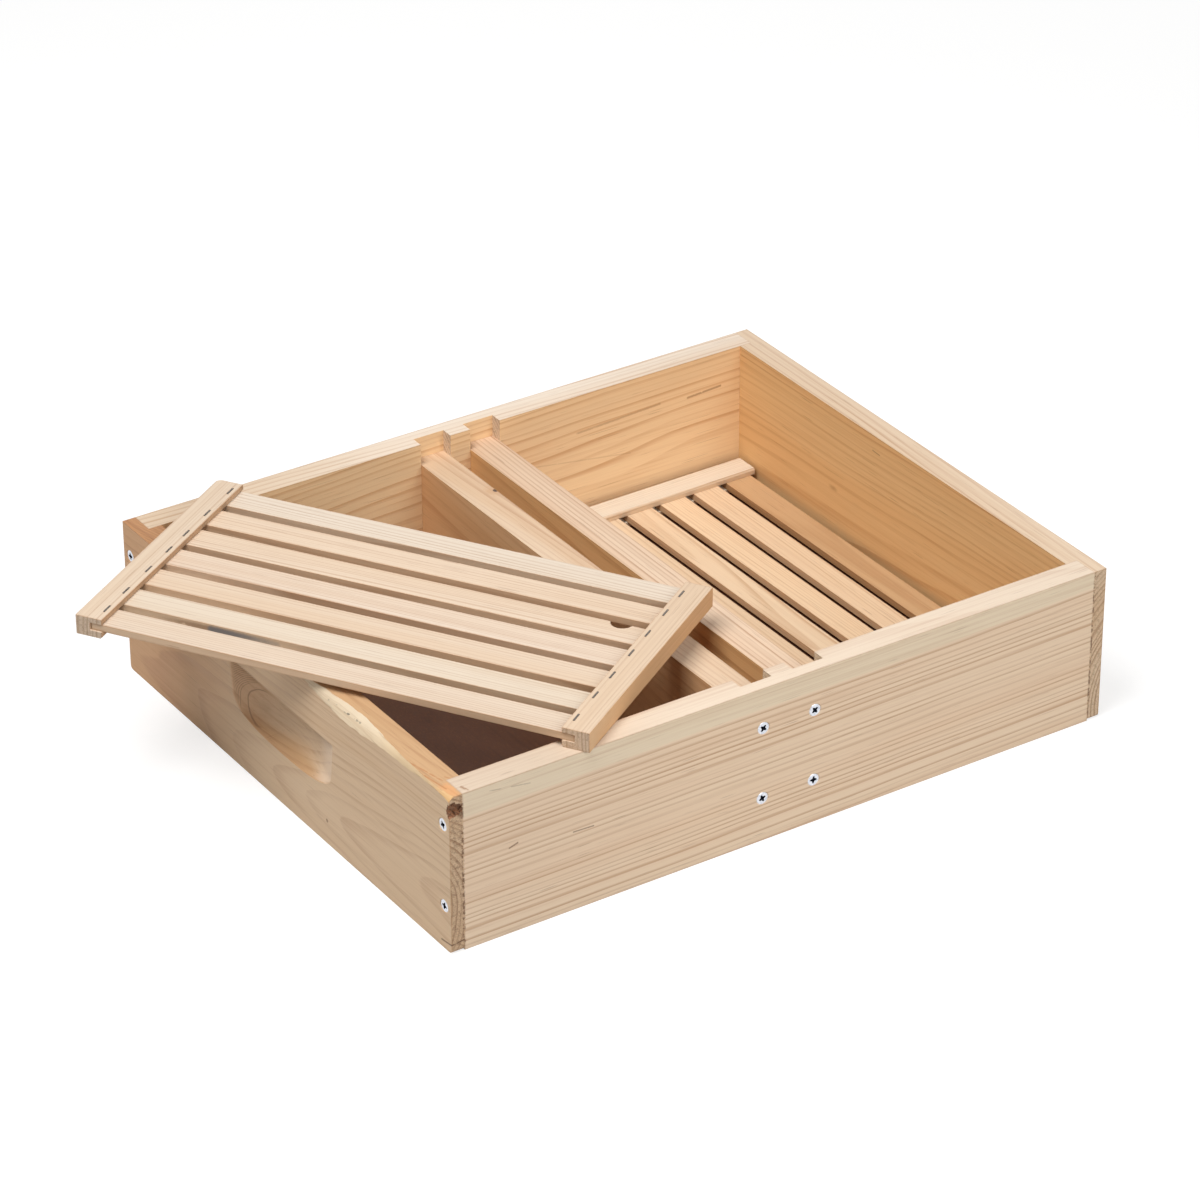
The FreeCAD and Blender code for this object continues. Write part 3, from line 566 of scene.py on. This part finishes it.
# Each board's grain and marks, and the tints of its faces. front and back are its wide faces:
# -Y and +Y on the two long boards, +X and -X on the others
BOX_BOARDS = {
    "front_side": dict(
        along=X_AXIS, early=srgb(236, 213, 185), heart=srgb(230, 201, 171), late=srgb(186, 144, 108),
        pith=(0.30, 0.03), lean=(0.012, 0), pitch=0.0044, wander=0.010, figure=0.72, streaks=0.34, seed=3.1,
        sapwood=(0.0, 0.258, 0.6), top=tint(0.98, 0.98, 1.06),
        marks=(
            tone_and_shade_mark(0, -60, -220, tint(0.955, 0.96, 0.97)),
            tone_and_shade_mark(0, -60, -200, tint(0.88, 0.85, 0.82), 114.2),
            streak_mark((-211, -206.4, 63.0), (-205, -206.4, 64.8), 0.9, PITCH, 0.7, 0.1),
            streak_mark((-164, -206.4, 57.9), (-149, -206.4, 57.3), 0.7, PITCH, 0.65, 0.4),
            streak_mark((-224.5, -206.4, 109.5), (-195.5, -206.4, 105.1), 0.6, PITCH, 0.35, 0.5),
            streak_mark((-240.6, -199.2, 114.3), (-239.4, -204.1, 114.3), 1.5, srgb(142, 98, 62), 0.7, 0.2),
            streak_mark((-244.5, -206.4, 6), (-244.5, -206.4, 107), 1.1, CHIPPED, 0.8, 0.68, 330),
            streak_mark((244.5, -206.4, 6), (244.5, -206.4, 110), 1.0, CHIPPED, 0.7, 0.6, 280))),
    "rear_side": dict(
        along=X_AXIS, early=srgb(240, 222, 198), heart=srgb(234, 208, 178), late=srgb(196, 152, 112),
        pith=(-0.030, -0.080), lean=(0.02, 0.01), pitch=0.0030, wander=0.012, figure=0.6, streaks=0.3,
        # front: the inner face, warmer and more orange: partly the wood's own colour, partly painted warm
        # bounce light
        seed=9.4, front=tint(1.06, 0.94, 0.74), top=tint(0.97, 1.02, 1.12),
        marks=(
            tone_and_shade_mark(0, -60, -220, tint(0.94, 0.90, 0.85)),
            tone_and_shade_mark(0, -20, -150, tint(0.90, 0.88, 0.84), 114.2),
            streak_mark((96, 187.3, 84.9), (166, 187.3, 88.0), 1.2, PITCH_PALE, 0.38, 0.0),
            streak_mark((190, 187.3, 85.8), (218, 187.3, 87.4), 1.3, PITCH_PALE, 0.6, 0.0),
            streak_mark((60, 187.3, 68.6), (141, 187.3, 56.0), 0.8, PITCH_PALE, 0.2, 0.0))),
    "left_end": dict(
        along=Y_AXIS, early=srgb(226, 199, 167), heart=srgb(218, 186, 150), late=srgb(178, 134, 96),
        pith=(-0.036, -0.075), lean=(-0.02, -0.055), pitch=0.0042, wander=0.026, figure=0.55, streaks=0.32,
        rough_sawn=1.1, seed=21.7, top=tint(0.79, 0.68, 0.56),
        marks=(
            # Painted shadow of the loose float: the left end grows darker and browner towards its far end
            tone_and_shade_mark(1, 20, 160, tint(0.90, 0.74, 0.62)),
            hand_hold_rings_and_painted_light(-254, (34, 53.5), (16.3, 11.6), srgb(112, 78, 54)),
            # A golden patch over the scoop's lower part: partly the wood's colour, partly painted light of
            # the lit cove
            blotch_mark((-243, -12, 45), (14, 34, 10), srgb(214, 170, 120), 0.36, 0.9, 0.2),
            blotch_mark((-254, -56, 17.5), (3, 1.6, 1.6), srgb(130, 92, 64), 0.7),
            blotch_mark((-249, -199, 114.3), (6, 12, 3), srgb(224, 160, 104), 0.6, 0.6, 0.7),
            streak_mark((-251.8, -160, 114.3), (-246.5, -187, 114.3), 0.9, FRAYED, 0.7, 0.3),
            streak_mark((-252.6, -176, 114.3), (-249.5, -196, 114.3), 1.0, FRAYED, 0.7, 0.3),
            streak_mark((-253.6, -150, 113.6), (-253.6, -200, 112.8), 1.0, FRAYED, 0.7, 0.4),
            streak_mark((-243, -184, 114.3), (-238, -192, 114.3), 0.7, FRAYED, 0.6, 0.2),
            streak_mark((-246, -206, 106), (-245.5, -206, 100), 2.4, CHIPPED, 0.7, 0.5),
            streak_mark((-254, -194.6, 5.0), (-254, -206.2, 6.5), 0.9, CHIPPED, 0.85, 0.0),
            streak_mark((-254, -206.4, 6.5), (-244.7, -206.4, 7.8), 0.9, CHIPPED, 0.85, 0.0),
            streak_mark((-244.8, -206.4, 8), (-244.8, -206.4, 107), 1.2, CHIPPED, 0.8, 0.68, 330))),
    "right_end": dict(
        along=Y_AXIS, early=srgb(232, 208, 178), heart=srgb(226, 194, 158), late=srgb(186, 138, 98),
        pith=(-0.045, 0.075), lean=(0.01, 0.03), pitch=0.0036, wander=0.012, figure=0.55, streaks=0.3,
        # back: the inner face, warmer and more orange: partly the wood's own colour, partly painted warm
        # bounce light
        rough_sawn=0.7, seed=14.2, back=tint(0.95, 0.80, 0.55), top=tint(0.93, 0.95, 1.0),
        marks=(
            blotch_mark((235, 71.7, 52.2), (3, 6.0, 2.6), srgb(150, 100, 60), 0.4, 0.8),
            streak_mark((235, 19, 102), (235, 27, 102.4), 0.7, PITCH, 0.5, 0.1),
            streak_mark((244.6, -206.4, 5), (244.6, -206.4, 111), 1.1, CHIPPED, 0.75, 0.6, 280))),
    "left_divider": dict(
        along=Y_AXIS, early=srgb(232, 204, 174), heart=srgb(222, 186, 150), late=srgb(186, 138, 102),
        pith=(-0.01, 0.085), lean=(0.02, -0.03), pitch=0.0036, wander=0.010, figure=0.55, streaks=0.3,
        # back and front: the sides in the left reservoir and in the passage, darker and more orange:
        # painted shade and warm bounce light
        seed=5.6, back=tint(0.93, 0.77, 0.58), front=tint(0.8, 0.55, 0.38), top=tint(0.93, 0.95, 0.97),
        marks=(
            blotch_mark((-11.0, 129.0, 98.4), (6.5, 10.0, 4.0), srgb(196, 150, 108), 0.5, 0.8),
            blotch_mark((-8.8, 128.6, 98.4), (1.7, 2.4, 3.0), DARK_HOLE, 0.9, 0.4))),
    "right_divider": dict(
        along=Y_AXIS, early=srgb(234, 206, 176), heart=srgb(226, 190, 156), late=srgb(182, 136, 100),
        pith=(0.02, -0.09), lean=(0.015, 0.01), pitch=0.0034, wander=0.008, figure=0.75, streaks=0.36,
        # back and front: the sides in the passage and in the right reservoir, darker and more orange:
        # painted shade and warm bounce light, on wood that is also somewhat darker
        seed=17.9, back=tint(0.97, 0.84, 0.55), front=tint(0.86, 0.64, 0.44), top=tint(0.94, 0.96, 1.0)),
}

WORN_BOARD = "left_end"         # its worn copy gets the eased edges
for node, look in BOX_BOARDS.items():
    look = dict(look)
    board = Board(node, look.pop("along"), Z_AXIS)
    dress(node, wood_material(board, **look))
    if node != WORN_BOARD:
        ease_edges(NODES[node], EDGE_EASE)


# The left end's top edge still has the log's own surface, and its front corner is torn

WEAR_SEED = 7

# Distance along the board, and how far the edge is gone down the face and across the rim
WANE = [(-14, 0.4, 0.2), (-36, 4.7, 0.8), (-60, 7.2, 3.9), (-80, 9.0, 5.8), (-97, 8.4, 6.6),
        (-115, 6.5, 5.2), (-130, 5.0, 3.4), (-155, 4.2, 1.6), (-178, 1.9, 0.8), (-190, 1.2, 0.9),
        (-200, 2.0, 2.4), (-209, 3.4, 4.4)]
WANE_STEP = 3.0                 # millimetres between two rings of the cutter
WANE_OVERLAP = 3.0              # how far the cutter stands out of the board
WANE_SHARES = (0.0, 0.2, 0.4, 0.6, 0.8, 1.0)
WANE_BULGE = 0.10               # a share of the narrower cut
WANE_SPREAD = (0.94, 1.06)      # random factors of the two cuts

# The tear is a lumpy ellipsoid: its middle, half axes and the random share of its radius
TORN_CORNER = (-252.0, -209.6, 104.5)
TORN_SIZE = (9.2, 6.8, 6.0)
TORN_ROUGHNESS = 0.16

# Material slots of the worn board's cut faces. Slot 0 is the board's own wood
WANE_SLOT = 1
TORN_SLOT = 2


def wane_at(y):
    """The two cuts of the wane at one place along the board, between the measured ones."""
    for (y0, down0, in0), (y1, down1, in1) in zip(WANE, WANE[1:]):
        if y1 <= y <= y0:
            share = (y0 - y) / (y0 - y1)
            ease = share * share * (3 - 2 * share)
            return down0 + (down1 - down0) * ease, in0 + (in1 - in0) * ease
    return WANE[-1][1:]


def make_wane_cutter(draw, x_face, z_top):
    """A long wedge outside the log's surface, which bulges a little between its two edges."""
    cutter = bmesh.new()
    rings = []
    steps = int((WANE[0][0] - WANE[-1][0]) / WANE_STEP)
    for step in range(steps + 1):
        y = WANE[0][0] - step * WANE_STEP
        down, across = (value * draw.uniform(*WANE_SPREAD) for value in wane_at(y))
        points = []
        for share in WANE_SHARES:
            bulge = WANE_BULGE * math.sin(math.pi * share) * min(down, across)
            points.append((x_face + across * (1 - share) - bulge, z_top - down * share + bulge))
        (x0, z0), (x1, z1) = points[0], points[-1]
        points = [(x0 + WANE_OVERLAP * 0.5, z0 + WANE_OVERLAP)] + points + [
            (x1 - WANE_OVERLAP, z1 - WANE_OVERLAP * 0.5), (x_face - WANE_OVERLAP, z_top + WANE_OVERLAP)]
        rings.append([cutter.verts.new(Vector((x, y, z)) / 1000) for x, z in points])
    for ring, following in zip(rings, rings[1:]):
        for corner in range(len(ring)):
            after = (corner + 1) % len(ring)
            cutter.faces.new((ring[corner], ring[after], following[after], following[corner]))
    cutter.faces.new(rings[0])
    cutter.faces.new(rings[-1])
    bmesh.ops.recalc_face_normals(cutter, faces=cutter.faces)
    for face in cutter.faces:
        face.material_index = WANE_SLOT
    return cutter


def make_torn_cutter(draw):
    """The lumpy ellipsoid of the torn corner."""
    cutter = bmesh.new()
    bmesh.ops.create_icosphere(cutter, subdivisions=4, radius=MILLIMETRE)
    for vertex in cutter.verts:
        swell = 1 + draw.uniform(-1, 1) * TORN_ROUGHNESS
        vertex.co = Vector(away * size * swell + middle / 1000
                           for away, size, middle in zip(vertex.co, TORN_SIZE, TORN_CORNER))
    for face in cutter.faces:
        face.material_index = TORN_SLOT
    return cutter


def to_mesh(shape, name):
    """A new mesh with the bmesh in it, which is then freed."""
    mesh = bpy.data.meshes.new(name)
    shape.to_mesh(mesh)
    shape.free()
    return mesh


def cut_away(mesh, cutters):
    """A mesh with each cutter's shape taken out of it."""
    work = bpy.data.objects.new("work", mesh)
    bpy.context.scene.collection.objects.link(work)
    for cutter in cutters:
        tool = bpy.data.objects.new("tool", to_mesh(cutter, "tool"))
        bpy.context.scene.collection.objects.link(tool)
        cut = work.modifiers.new("cut", "BOOLEAN")
        cut.solver = "MANIFOLD"
        cut.object = tool
        bpy.context.view_layer.update()
        after = bpy.data.meshes.new_from_object(work.evaluated_get(bpy.context.evaluated_depsgraph_get()))
        work.modifiers.clear()
        work.data = after
        bpy.data.objects.remove(tool)
    bpy.data.objects.remove(work)
    return after


def worn_materials(node):
    """The pale wood just under the bark, and the brown torn fibres at the corner."""
    board = Board(node, Y_AXIS, Z_AXIS)
    wane = wood_material(
        board, name="wane", early=srgb(234, 218, 194), heart=srgb(226, 204, 172), late=srgb(190, 156, 118),
        pith=(-0.036, -0.075), lean=(-0.02, -0.04), pitch=0.0026, wander=0.02, figure=0.3, streaks=0.7,
        seed=2.2,
        marks=(
            tone_and_shade_mark(1, -104, -170, tint(0.95, 0.86, 0.72)),
            tone_and_shade_mark(1, -176, -204, tint(0.92, 0.76, 0.56)),
            streak_mark((-254, -22, 112), (-253, -60, 106), 1.6, srgb(196, 146, 96), 0.5, 0.4),
            streak_mark((-253.2, -38, 109.5), (-250.5, -106, 111), 1.0, srgb(84, 82, 74), 0.85, 0.95, 190)))
    torn = wood_material(
        board, name="torn_fibres", early=srgb(144, 106, 80), heart=srgb(110, 78, 58), late=srgb(62, 42, 32),
        pith=(-0.036, -0.075), lean=(0.3, 0.2), pitch=0.0016, wander=0.02, figure=0.9, streaks=1.0,
        seed=31.0, rough_sawn=0.8, top=tint(1.25, 1.05, 0.9))
    return [wane, torn]


def make_worn_board(node):
    """A copy of the board with its wane and its torn corner, in place of the board itself."""
    draw = random.Random(WEAR_SEED)
    solid = bmesh.new()
    solid.from_mesh(NODES[node].data)
    bmesh.ops.remove_doubles(solid, verts=solid.verts, dist=SAME_PLACE)
    bmesh.ops.dissolve_limit(solid, angle_limit=FLAT_ANGLE, verts=solid.verts, edges=solid.edges)
    low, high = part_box(node)
    cutters = [make_wane_cutter(draw, low.x * 1000, high.z * 1000), make_torn_cutter(draw)]
    whole = to_mesh(solid, node + "_worn")
    whole.materials.clear()
    for material in [NODES[node].material_slots[0].material] + worn_materials(node):
        whole.materials.append(material)
    piece = bpy.data.objects.new(node + "_worn", cut_away(whole, cutters))
    bpy.context.scene.collection.objects.link(piece)
    ease_edges(piece, EDGE_EASE, keep_materials=True)
    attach(piece, "feeder_box")
    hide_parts(node)


make_worn_board(WORN_BOARD)


# The floats' slats and cleats

STICK_SEED = 41
STICK_SPREAD = (0.95, 1.04)     # random factors of a stick's tone
FLAT_SAWN_SHARE = 0.35


def stick_look(draw, early, heart, late):
    """A slat's or cleat's grain: each is sawn from its own place in some log."""
    if draw.random() < FLAT_SAWN_SHARE:
        pith = (draw.uniform(-0.01, 0.01), draw.uniform(-0.06, -0.03))
    else:
        pith = (draw.choice((-1, 1)) * draw.uniform(0.06, 0.12), draw.uniform(-0.03, 0.03))
    return dict(
        early=early, heart=heart, late=late, pith=pith,
        lean=(draw.uniform(-0.012, 0.012), draw.uniform(-0.02, 0.02)),
        pitch=draw.uniform(0.0021, 0.0032), wander=draw.uniform(0.004, 0.010),
        figure=draw.uniform(0.35, 0.65), streaks=draw.uniform(0.2, 0.34), seed=draw.uniform(0, 50))


def shade(colour, factors):
    """A colour with a factor on each of its channels."""
    return tuple(channel * factor for channel, factor in zip(colour, factors)) + (1,)


# Factors of the narrow sides of the slats and cleats, which are darker than their faces
NARROW_SIDE_TINT = tint(0.86, 0.74, 0.62)
NARROW_SIDE_TINTS = {"loose_float_right_cleat": tint(1.03, 0.84, 0.62)}
FLOATS = {
    "seated_float": dict(early=srgb(235, 210, 178), heart=srgb(229, 199, 165), late=srgb(190, 148, 108)),
    "loose_float": dict(early=srgb(222, 204, 183), heart=srgb(217, 194, 168), late=srgb(178, 143, 112)),
}

# Factors of single slats and cleats, on their float's colours
STICK_SHADES = {
    "seated_float_slat_5": (1.03, 1.02, 1.0), "seated_float_slat_7": (0.74, 0.63, 0.50),
    "seated_float_rear_cleat": (0.95, 1.10, 1.32), "seated_float_front_cleat": (0.95, 1.0, 1.1),
    "loose_float_slat_1": (0.99, 1.0, 1.03), "loose_float_slat_2": (1.01, 1.07, 1.13),
    "loose_float_slat_3": (1.0, 0.98, 0.97), "loose_float_slat_4": (1.02, 1.01, 1.03),
    "loose_float_slat_5": (1.03, 1.01, 1.0), "loose_float_slat_6": (1.03, 1.0, 0.98),
    "loose_float_slat_7": (1.04, 1.11, 1.2), "loose_float_right_cleat": (0.97, 0.92, 0.87),
    "loose_float_left_cleat": (0.96, 0.94, 0.92),
}
GAP_STAIN = srgb(92, 98, 104)
STICK_MARKS = {
    "loose_float_slat_1": (
        streak_mark((-308, 80, 124), (-262, 16, 124), 1.6, srgb(158, 124, 88), 0.5, 0.0, ragged=0.3),
        streak_mark((-278, 37, 124), (-254, 3, 124), 2.0, GAP_STAIN, 0.4, 0.0, ragged=0.3)),
    "loose_float_slat_2": (
        streak_mark((-309, 80, 121), (-262, 16, 121), 2.8, srgb(132, 98, 68), 0.7, 0.0, ragged=0.3),
        streak_mark((-280, 40, 121), (-252, 1, 121), 3.6, GAP_STAIN, 0.75, 0.0, ragged=0.3)),
    "loose_float_slat_4": (blotch_mark((-190, -95, 123), (1.4, 1.4, 3.0), DARK_HOLE, 0.8),),
}

draw = random.Random(STICK_SEED)
for body, colours in FLOATS.items():
    slat_way = slat_direction(body + "_slat_1")
    cleat_way = slat_way.cross(Z_AXIS)
    for node in [n for n in sorted(NODES) if n.startswith(body) and "staples" not in n]:
        along = slat_way if "slat" in node else cleat_way
        spread = draw.uniform(*STICK_SPREAD)
        factors = STICK_SHADES.get(node, (spread,) * 3)
        look = stick_look(draw, *(shade(colours[name], factors) for name in ("early", "heart", "late")))
        board = Board(node, along, Z_AXIS.cross(along))
        side = NARROW_SIDE_TINTS.get(node, NARROW_SIDE_TINT)
        dress(node, wood_material(board, top=side, bottom=side, marks=STICK_MARKS.get(node, ()), **look))
        ease_edges(NODES[node], STICK_EASE)

dress("left_floor", hardboard_material())
dress("right_floor", hardboard_material())
wire = metal_material("staple_wire", srgb(120, 112, 104), srgb(84, 76, 70), 0.45)
for node in NODES:
    if node.endswith("_staples"):
        dress(node, wire)


# Screws

# From the head's face down to the point: radius and height of the turned parts, in millimetres
SCREW_PROFILE = [(3.7, 0.0), (4.15, -0.06), (4.45, -0.3), (4.4, -0.5), (2.1, -2.5), (1.85, -3.2),
                 (1.6, -26.0), (0.15, -31.8)]
SCREW_SEGMENTS = 40

# One arm of the cross recess: the two corners of its end, and the corner before the next arm
RECESS_ARM = ((2.55, -0.5), (2.55, 0.5), (1.0, 1.0))
RECESS_DEPTH = 1.9
RECESS_FOOT = 0.42              # the size of the cross at its bottom, as a share
ZINC_SLOT = 0
RECESS_SLOT = 1

# Which way the heads look, X or Y of their faces, how far from the middle the screws are along
# the board, their heights, and how far each cross is turned, in degrees
SCREW_GROUPS = {
    "left_end_screws": (-X_AXIS, (-253.7, None), 198.175, (31.5, 91.0), (80, 27, 64, 11)),
    "right_end_screws": (X_AXIS, (253.7, None), 198.175, (31.5, 91.0), (10, 47, 84, 31)),
    "front_side_screws": (-Y_AXIS, (None, -206.075), 20.0, (31.8, 84.3), (24, 52, 84, 38)),
    "rear_side_screws": (Y_AXIS, (None, 206.075), 20.0, (31.8, 84.3), (80, 27, 64, 11)),
}


def add_screw(shape, place):
    """One countersunk screw whose head's face is at Z = 0 of the place."""
    def ring(points):
        return [shape.verts.new(place @ (Vector(point) / 1000)) for point in points]

    def circle(radius, height):
        turns = [2 * math.pi * step / SCREW_SEGMENTS for step in range(SCREW_SEGMENTS)]
        return ring([(radius * math.cos(turn), radius * math.sin(turn), height) for turn in turns])

    def join(first, second, slot):
        for step in range(len(first)):
            after = (step + 1) % len(first)
            face = shape.faces.new((first[step], first[after], second[after], second[step]))
            face.material_index = slot

    def cross(size, height):
        points = []
        for quarter in range(4):
            turn = Matrix.Rotation(quarter * math.pi / 2, 3, "Z")
            points.extend(turn @ Vector((x * size, y * size, height)) for x, y in RECESS_ARM)
        return ring(points)

    circles = [circle(radius, height) for radius, height in SCREW_PROFILE]
    for first, second in zip(circles, circles[1:]):
        join(first, second, ZINC_SLOT)
    shape.faces.new(circles[-1])
    mouth = cross(1.0, 0.0)
    foot = cross(RECESS_FOOT, -RECESS_DEPTH)
    join(mouth, foot, RECESS_SLOT)
    shape.faces.new(foot).material_index = RECESS_SLOT
    rim = [shape.edges.get((loop[step - 1], loop[step]))
           for loop in (circles[0], mouth) for step in range(len(loop))]
    bmesh.ops.triangle_fill(shape, edges=rim, use_beauty=True)


def make_screws(node, zinc, shadowed):
    """Four turned screws in place of a CAD node's plain ones."""
    out, (x, y), offset, heights, spins = SCREW_GROUPS[node]
    facing = out.to_track_quat("Z", "Y").to_matrix()
    places = [(side, height) for side in (-offset, offset) for height in heights]
    shape = bmesh.new()
    for (side, height), spin in zip(places, spins):
        middle = Vector((side if x is None else x, side if y is None else y, height)) / 1000
        turn = facing @ Matrix.Rotation(math.radians(spin), 3, "Z")
        add_screw(shape, Matrix.Translation(middle) @ turn.to_4x4())
    bmesh.ops.recalc_face_normals(shape, faces=shape.faces)
    piece = bpy.data.objects.new(node + "_detailed", to_mesh(shape, node + "_detailed"))
    bpy.context.scene.collection.objects.link(piece)
    piece.data.materials.append(zinc)
    piece.data.materials.append(shadowed)
    smooth = piece.modifiers.new("smooth_by_angle", "NODES")
    smooth.node_group = SMOOTHING
    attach(piece, "feeder_box")
    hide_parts(node)


zinc = metal_material("zinc", srgb(222, 225, 231), srgb(188, 193, 204), 0.3)
# The cross recesses get a near-black material: painted shade inside them
shadowed_zinc = metal_material("recess", srgb(34, 38, 50), srgb(16, 18, 26), 0.6)
for node in SCREW_GROUPS:
    make_screws(node, zinc, shadowed_zinc)


# Floor, light and camera

FLOOR_REACH = 6.0
FLOOR_HEIGHT = -0.0002
FLOOR_PLAIN = tint(0.5, 0.5, 0.5)
FLOOR_SEEN = tint(0.42, 0.42, 0.42)
FLOOR_GLOW = 0.68
FILL_COLOUR = tint(1.0, 0.985, 0.96)
FILL_STRENGTH = 0.22

# Each lamp's place and the side of its square, in metres, and its power in watts
SOFTBOXES = {
    "key": ((-0.95, -0.25, 2.15), 1.2, 46),
    "front": ((0.35, -2.2, 1.3), 1.4, 27),
    "back": ((1.7, 2.1, 0.42), 1.4, 12),
}
LAMP_TARGET = Vector((0, 0, 0.05))


def background_or(g, shader, white):
    """White where the camera, a mirror or a glass looks at it, and the shader elsewhere."""
    rays = g.add("ShaderNodeLightPath").outputs
    seen = g.math("MAXIMUM", rays["Is Camera Ray"],
                  g.math("MAXIMUM", rays["Is Glossy Ray"], rays["Is Transmission Ray"]))
    mix = g.add("ShaderNodeMixShader")
    g.feed(mix.inputs[0], seen)
    g.feed(mix.inputs[1], shader)
    g.feed(mix.inputs[2], white)
    return mix.outputs[0]


def make_floor():
    """A wide sheet just under the part. To the camera it glows white and takes a soft shadow."""
    mesh = bpy.data.meshes.new("floor")
    corners = ((-1, -1), (1, -1), (1, 1), (-1, 1))
    mesh.from_pydata([(x * FLOOR_REACH, y * FLOOR_REACH, FLOOR_HEIGHT) for x, y in corners],
                     [], [(0, 1, 2, 3)])
    floor = bpy.data.objects.new("floor", mesh)
    bpy.context.scene.collection.objects.link(floor)
    material, g = new_material("floor")
    plain = g.add("ShaderNodeBsdfDiffuse", inputs={"Color": FLOOR_PLAIN}).outputs[0]
    shaded = g.add("ShaderNodeBsdfDiffuse", inputs={"Color": FLOOR_SEEN}).outputs[0]
    glow = g.add("ShaderNodeEmission", inputs={"Color": WHITE, "Strength": FLOOR_GLOW}).outputs[0]
    both = g.add("ShaderNodeAddShader")
    g.feed(both.inputs[0], shaded)
    g.feed(both.inputs[1], glow)
    g.feed(g.add("ShaderNodeOutputMaterial").inputs["Surface"], background_or(g, plain, both.outputs[0]))
    mesh.materials.append(material)


def make_world():
    """A faint warm light from all sides, and white where the camera looks past the floor."""
    world = bpy.data.worlds.new("studio")
    bpy.context.scene.world = world
    world.use_nodes = True
    world.node_tree.nodes.clear()
    g = Graph(world.node_tree)
    fill = g.add("ShaderNodeBackground", inputs={
        "Color": FILL_COLOUR, "Strength": FILL_STRENGTH}).outputs[0]
    white = g.add("ShaderNodeBackground", inputs={"Color": WHITE, "Strength": 1.0}).outputs[0]
    g.feed(g.add("ShaderNodeOutputWorld").inputs["Surface"], background_or(g, fill, white))


def add_softbox(name, place, side, power):
    """A square lamp that looks at the part."""
    light = bpy.data.lights.new(name, "AREA")
    light.shape = "SQUARE"
    light.size = side
    light.energy = power
    lamp = bpy.data.objects.new(name, light)
    lamp.location = place
    lamp.rotation_euler = (LAMP_TARGET - Vector(place)).to_track_quat("-Z", "Y").to_euler()
    bpy.context.scene.collection.objects.link(lamp)


def make_camera():
    """The photograph's viewpoint: a long lens, above and to the left of the front corner."""
    eye = Vector((-1.555, -2.353, 1.717))
    ahead = Vector((0.4745, 0.7218, -0.5039)).normalized()
    right = Vector((0.835, -0.5502, -0.0018)).normalized()
    up = right.cross(ahead).normalized()
    data = bpy.data.cameras.new("camera")
    data.sensor_width = 36.0
    data.lens = 147.0
    data.clip_start, data.clip_end = 0.1, 50.0
    camera = bpy.data.objects.new("camera", data)
    turn = Matrix((up.cross(-ahead), up, -ahead)).transposed()
    camera.matrix_world = Matrix.Translation(eye) @ turn.to_4x4()
    bpy.context.scene.collection.objects.link(camera)
    bpy.context.scene.camera = camera


make_floor()
make_world()
for name, (place, side, power) in SOFTBOXES.items():
    add_softbox(name, place, side, power)
make_camera()
bpy.context.scene.view_settings.view_transform = "Standard"
